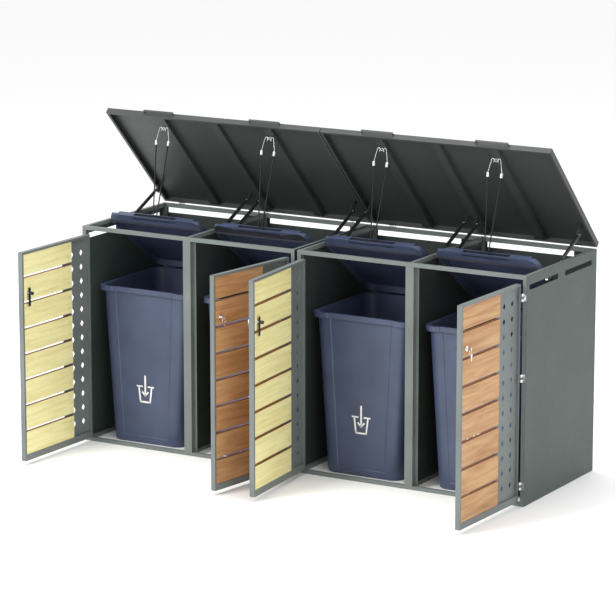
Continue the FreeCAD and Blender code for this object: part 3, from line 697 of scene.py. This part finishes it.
LID_LUGS = Lugs(along=0.210, half_width=0.008, radius=0.0118, front=0.250, drop=0.034, back=0.006)
AXLE_LUGS = Lugs(along=0.150, half_width=0.010, radius=0.020, front=0.176, drop=0.019, rise=0.045)
MARK = (
    Stroke((-0.040, 0.010), (-0.030, -0.070), 0.009),
    Stroke((0.040, 0.010), (0.030, -0.070), 0.009),
    Stroke((-0.030, -0.070), (0.030, -0.070), 0.009),
    Stroke((-0.052, 0.014), (-0.018, 0.014), 0.008),
    Stroke((0.018, 0.014), (0.052, 0.014), 0.008),
    Stroke((0.0, 0.072), (0.0, -0.030), 0.010),
    Stroke((0.0, -0.036), (-0.018, -0.016), 0.009),
    Stroke((0.0, -0.036), (0.018, -0.016), 0.009),
)


@dataclass
class Tub:
    """A bin's tub: tapered rounded walls with a recessed front, and a rolled rim."""

    number: int
    height: float = 0.838
    base_width: float = 0.432
    base_span: Pair = (-0.308, 0.170)
    shoulder_width: float = 0.542
    shoulder_span: Pair = (-0.318, 0.243)
    mouth_width: float = 0.574
    mouth_span: Pair = (-0.330, 0.255)
    rim_drop: float = 0.022
    corner: float = 0.055
    foot_round: float = 0.012
    wall: float = 0.004
    panel_margin: float = 0.034
    panel_slope: float = 0.005
    panel_depth: float = 0.003
    mark_height: float = 0.300
    mark_sink: float = 0.0006
    pin_half: float = 0.218
    pin_radius: float = 0.006
    edge: float = 0.0012
    edge_angle: float = 30.0
    lug_edge: float = 0.001

    @property
    def centre(self) -> float:
        """The X of the bin's middle plane.

        Returns:
            The X.
        """
        low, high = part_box(f"bin_{self.number}_body")
        return (low[0] + high[0]) / 2

    def walls(self) -> bmesh.types.BMesh:
        """The open tapered tub with round corners and a recessed panel in its front.

        Returns:
            A new bmesh about X 0.
        """
        mesh = bmesh.new()
        for vert in bmesh.ops.create_cube(mesh, size=1.0)["verts"]:
            top = vert.co.z > 0
            width = self.shoulder_width if top else self.base_width
            front, rear = self.shoulder_span if top else self.base_span
            vert.co = Vector((math.copysign(width / 2, vert.co.x), rear if vert.co.y > 0 else front,
                              self.height if top else 0.0))
        mesh.normal_update()
        uprights = [e for e in mesh.edges if abs(e.verts[0].co.z - e.verts[1].co.z) > self.corner]
        bmesh.ops.bevel(mesh, geom=uprights, offset=self.corner, affect="EDGES", segments=8, profile=0.5,
                        material=-1)
        mesh.normal_update()
        foot = [e for e in mesh.edges if all(v.co.z < self.wall for v in e.verts)]
        bmesh.ops.bevel(mesh, geom=foot, offset=self.foot_round, affect="EDGES", segments=3, profile=0.5,
                        material=-1)
        mesh.normal_update()
        mouth = [f for f in mesh.faces if f.normal.z > FACING]
        bmesh.ops.delete(mesh, geom=mouth, context="FACES")
        front = [max((f for f in mesh.faces if f.normal.y < -FACING), key=lambda f: f.calc_area())]
        bmesh.ops.inset_region(mesh, faces=front, thickness=self.panel_margin)
        bmesh.ops.inset_region(mesh, faces=front, thickness=self.panel_slope, depth=-self.panel_depth)
        return mesh

    def roll_rim(self, mesh: bmesh.types.BMesh) -> None:
        """Folds the top edge outwards and down.

        Args:
            mesh: the open tub, which is changed.
        """
        edges = [e for e in mesh.edges if e.is_boundary]
        verts = self.extruded(mesh, edges)
        wide = self.mouth_width / self.shoulder_width
        deep = (self.mouth_span[1] - self.mouth_span[0]) / (self.shoulder_span[1] - self.shoulder_span[0])
        middle = sum(self.shoulder_span) / 2
        for vert in verts:
            vert.co.x *= wide
            vert.co.y = sum(self.mouth_span) / 2 + (vert.co.y - middle) * deep
        edges = [e for e in mesh.edges if e.is_boundary]
        for vert in self.extruded(mesh, edges):
            vert.co.z -= self.rim_drop

    @staticmethod
    def extruded(mesh: bmesh.types.BMesh, edges: list[bmesh.types.BMEdge]) -> list[bmesh.types.BMVert]:
        """Extrudes edges and returns the new vertices."""
        made = bmesh.ops.extrude_edge_only(mesh, edges=edges)["geom"]
        return [g for g in made if isinstance(g, bmesh.types.BMVert)]

    def fittings(self) -> bmesh.types.BMesh:
        """The lid's pin with its two lugs and the two lugs for the axle.

        Returns:
            A new bmesh about X 0.
        """
        mesh = bmesh.new()
        _, y, z = joint(f"bin_lid_{self.number}_hinge")["pos_m"]
        bar(mesh, Vector((-self.pin_half, y, z)), Vector((self.pin_half, y, z)), self.pin_radius)
        LID_LUGS.add(mesh, y, z)
        _, y, z = joint(f"bin_wheels_{self.number}_spin")["pos_m"]
        AXLE_LUGS.add(mesh, y, z)
        return mesh

    def build(self) -> None:
        """Makes the tub, its fittings and the mark on its front."""
        mesh = self.walls()
        self.roll_rim(mesh)
        face_out(mesh)
        shift = Matrix.Translation((self.centre, 0.0, 0.0))
        bmesh.ops.transform(mesh, matrix=shift, verts=mesh.verts)
        tub = make_piece(f"bin_{self.number}_tub", mesh, "root", ["bin"], (f"bin_{self.number}_body",))
        skin = tub.modifiers.new("wall", "SOLIDIFY")
        skin.thickness = self.wall
        skin.offset = -1.0
        skin.use_even_offset = True
        add_bevel(tub, self.edge, angle=self.edge_angle)
        mesh = self.fittings()
        bmesh.ops.transform(mesh, matrix=shift, verts=mesh.verts)
        add_bevel(make_piece(f"bin_{self.number}_lugs", mesh, "root", ["bin"]), self.lug_edge)
        self.build_mark(shift)

    def build_mark(self, shift: Matrix) -> bpy.types.Object:
        """Makes the white mark: an open bin, a parted bar above it and an arrow that points into it.

        Args:
            shift: takes a bin about X 0 to its compartment.

        Returns:
            The new object.
        """
        mesh = bmesh.new()
        lean = (self.shoulder_span[0] - self.base_span[0]) / self.height
        y = self.base_span[0] + lean * self.mark_height + self.panel_depth - self.mark_sink
        for stroke in MARK:
            stroke.add(mesh, y, self.mark_height)
        bmesh.ops.transform(mesh, matrix=shift, verts=mesh.verts)
        return make_piece(f"bin_{self.number}_mark", mesh, "root", ["mark"])


@dataclass
class BinLid:
    """A bin's lid: its moulded cover with rounded edges, and a grip slot whose faces take a near-black
    finish as painted shade.
    """

    number: int
    edge: float = 0.0022
    slot_half: float = 0.1305
    slot_foot: Pair = (-0.327, 0.880)
    slot_reach: float = 0.0165
    slot_skin: float = 0.001

    def shut(self) -> Matrix:
        """The turn and shift from where the lid stands to the shut lid at X 0.

        Returns:
            The matrix.
        """
        hinge = joint(f"bin_lid_{self.number}_hinge")
        x, y, z = hinge["pos_m"]
        pivot = Matrix.Translation((0.0, y, z))
        turn = Matrix.Rotation(-math.radians(hinge["range_deg"][0]), 4, "X")
        return Matrix.Translation((-x, 0.0, 0.0)) @ pivot @ turn @ pivot.inverted()

    def in_slot(self, place: Vector) -> bool:
        """Whether a point of the shut lid lies in its slot, below the slanted front.

        Args:
            place: the point, about X 0.

        Returns:
            True inside the slot.
        """
        y, z = place.y - self.slot_foot[0], place.z - self.slot_foot[1]
        along, below = (y + z) * math.sqrt(0.5), (y - z) * math.sqrt(0.5)
        return abs(place.x) < self.slot_half and abs(along) < self.slot_reach and below > self.slot_skin

    def build(self) -> None:
        """Makes the cover."""
        node = f"bin_{self.number}_lid"
        mesh = merged_copy(node)
        to_shut = self.shut()
        for face in mesh.faces:
            # Faces inside the grip slot take the near-black finish: painted shade.
            face.material_index = int(self.in_slot(to_shut @ face.calc_center_median()))
        cover = make_piece(f"bin_{self.number}_cover", mesh, f"bin_lid_{self.number}",
                           ["bin", "recess"], (node,))
        add_bevel(cover, self.edge, segments=3)


# ---- ropes ----
@dataclass
class Rope:
    """A lifting rope: from one ferrule down round the bin lid's cross bar and up to the other."""

    number: int
    radius: float = 0.0035
    length: float = 0.80
    bar_point: Pair = (-0.19927, 1.21153)
    up: Pair = (0.20514, 0.97873)
    leg: tuple[Pair, ...] = ((0.0095, -0.0085), (0.0124, 0.0334), (0.037, 0.385))

    def route(self) -> list[Triple]:
        """The rope's points in the store's frame, down one leg and up the other.

        Returns:
            The points.
        """
        low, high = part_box(f"rope_{self.number}")
        middle = (low[0] + high[0]) / 2
        legs = [(-x, t) for x, t in reversed(self.leg)] + list(self.leg)
        return [(middle + x, self.bar_point[0] + self.up[0] * t, self.bar_point[1] + self.up[1] * t)
                for x, t in legs]

    def curve(self, bevel: float) -> bpy.types.Object:
        """The route as a smooth curve.

        Args:
            bevel: the radius of its round section, or 0 for a bare line.

        Returns:
            The curve's object.
        """
        data = bpy.data.curves.new(f"rope_{self.number}_line", "CURVE")
        data.dimensions = "3D"
        data.resolution_u = 24
        data.bevel_depth = bevel
        data.bevel_resolution = 4
        data.use_fill_caps = True
        spline = data.splines.new("NURBS")
        points = self.route()
        spline.points.add(len(points) - 1)
        for point, place in zip(spline.points, points):
            point.co = (*place, 1.0)
        spline.order_u = 3
        spline.use_endpoint_u = True
        made = bpy.data.objects.new(f"rope_{self.number}_line", data)
        bpy.context.scene.collection.objects.link(made)
        return made

    def build(self) -> bpy.types.Object:
        """Makes the rope, which rides on its roof lid.

        Returns:
            The new object.
        """
        meshes = []
        for bevel in (0.0, self.radius):
            line = self.curve(bevel)
            bpy.context.view_layer.update()
            evaluated = line.evaluated_get(bpy.context.evaluated_depsgraph_get())
            meshes.append(bpy.data.meshes.new_from_object(evaluated))
            bpy.data.objects.remove(line)
        mesh = bmesh.new()
        mesh.from_mesh(meshes[1])
        side = lid_of(self.number).value
        piece = make_piece(f"rope_{self.number}_braid", mesh, f"roof_{side}", ["rope"],
                           (f"rope_{self.number}",))
        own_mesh(piece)
        return piece


# ---- studio ----
@dataclass
class Studio:
    """The pale floor, the soft lights and the camera."""

    azimuth: float = 30.234
    elevation: float = 12.3
    distance: float = 16.1226
    target: Triple = (0.0720, -0.400, 0.8759)
    lens: float = 184.9
    sensor: float = 36.0
    view_depth: float = 200.0
    floor_half: float = 40.0
    floor_grey: float = 0.93
    floor_roughness: float = 0.9
    sky_strength: float = 1.0

    def build(self) -> None:
        """Sets the stage."""
        mesh = bmesh.new()
        bmesh.ops.create_grid(mesh, x_segments=1, y_segments=1, size=self.floor_half)
        data = bpy.data.meshes.new("studio_floor")
        mesh.to_mesh(data)
        mesh.free()
        floor = bpy.data.objects.new("studio_floor", data)
        bpy.context.scene.collection.objects.link(floor)
        coat = NodeMaterial("pale_floor")
        grey = self.floor_grey
        coat.shader.inputs["Base Color"].default_value = (grey, grey, grey, 1.0)
        coat.shader.inputs["Roughness"].default_value = self.floor_roughness
        data.materials.append(coat.material)
        self.light("key_light", (-3.0, -7.5, 5.5), size=3.0, power=460.0)
        self.light("fill_light", (7.5, -4.0, 3.5), size=4.0, power=70.0)
        self.light("top_light", (0.0, 0.5, 7.5), size=5.0, power=330.0)
        world = bpy.data.worlds.new("studio_world")
        world.use_nodes = True
        sky = world.node_tree.nodes["Background"]
        sky.inputs["Color"].default_value = (1.0, 1.0, 1.0, 1.0)
        sky.inputs["Strength"].default_value = self.sky_strength
        bpy.context.scene.world = world
        bpy.context.scene.view_settings.view_transform = "Standard"
        self.place_camera()

    def light(self, name: str, place: Triple, size: float, power: float) -> None:
        """Adds a square area light that looks at the store's middle.

        Args:
            name: its name.
            place: where it hangs.
            size: its side.
            power: in watts.
        """
        data = bpy.data.lights.new(name, "AREA")
        data.size = size
        data.energy = power
        lamp = bpy.data.objects.new(name, data)
        lamp.location = place
        aim = Vector(self.target) - Vector(place)
        lamp.rotation_euler = aim.to_track_quat("-Z", "Y").to_euler()
        bpy.context.scene.collection.objects.link(lamp)

    def place_camera(self) -> None:
        """Puts the camera at its angle and distance."""
        a, e = math.radians(self.azimuth), math.radians(self.elevation)
        away = Vector((math.cos(e) * math.sin(a), -math.cos(e) * math.cos(a), math.sin(e)))
        data = bpy.data.cameras.new("store_camera")
        data.lens = self.lens
        data.sensor_width = self.sensor
        data.clip_end = self.view_depth
        camera = bpy.data.objects.new("store_camera", data)
        camera.location = Vector(self.target) + away * self.distance
        camera.rotation_euler = (-away).to_track_quat("-Z", "Y").to_euler()
        bpy.context.scene.collection.objects.link(camera)
        bpy.context.scene.camera = camera


@dataclass
class Shell:
    """The fixed frame, the two roof lids and the struts, coated or plated with eased edges."""

    edge: float = 0.0007
    sheet_edge: float = 0.0003
    fitting_edge: float = 0.0004
    cylinder_edge: float = 0.0006

    def build(self) -> None:
        """Eases and coats every fixed piece, then those of the roof and the struts."""
        for node in ("corner_posts", "centre_posts", "top_rails", "base_rails", "anchor_plates"):
            eased(node, "root", "coat", self.edge)
        # The side panels take the darker copy of the coat, as painted shade.
        eased("side_panels", "root", "coat_side_shade", self.sheet_edge)
        # The partitions, rear panels and strut brackets take the darkest copy of the coat, as painted shade
        # inside the compartments.
        for node in ("partition_panels", "rear_panels", "strut_frame_brackets"):
            eased(node, "root", "coat_wall_shade", self.sheet_edge)
        for node in ("door_hinge_post_leaves", "hinge_pins"):
            eased(node, "root", "chrome", self.fitting_edge)
        for node in ("roof_hinge_frame_leaves", "joining_bolts"):
            eased(node, "root", "zinc", self.fitting_edge)
        for side in Side:
            body = f"roof_{side.value}"
            # The roof lids' sheet, ribs and grips take the darker roof copy of the coat, as painted shade.
            for part in ("sheet", "ribs", "grips"):
                eased(f"{body}_{part}", body, "coat_roof_shade", self.edge)
            for part in ("hinge_leaves", "rope_hooks"):
                eased(f"{body}_{part}", body, "zinc", self.sheet_edge)
            rods, cylinders = f"strut_rods_{side.value}", f"strut_cylinders_{side.value}"
            eased(rods, rods, "rod", self.fitting_edge)
            eased(cylinders, cylinders, "black", self.cylinder_edge)


def main() -> None:
    """Builds the whole scene."""
    Studio().build()
    for number in COMPARTMENTS:
        Rope(number).build()
    Shell().build()
    for number in COMPARTMENTS:
        Door(number).build()
        Tub(number).build()
        BinLid(number).build()
        eased(f"bin_{number}_wheels", f"bin_wheels_{number}", "tyre", WHEEL_EDGE)


if __name__ == "__main__":
    logging.basicConfig(level=logging.INFO)
    main()
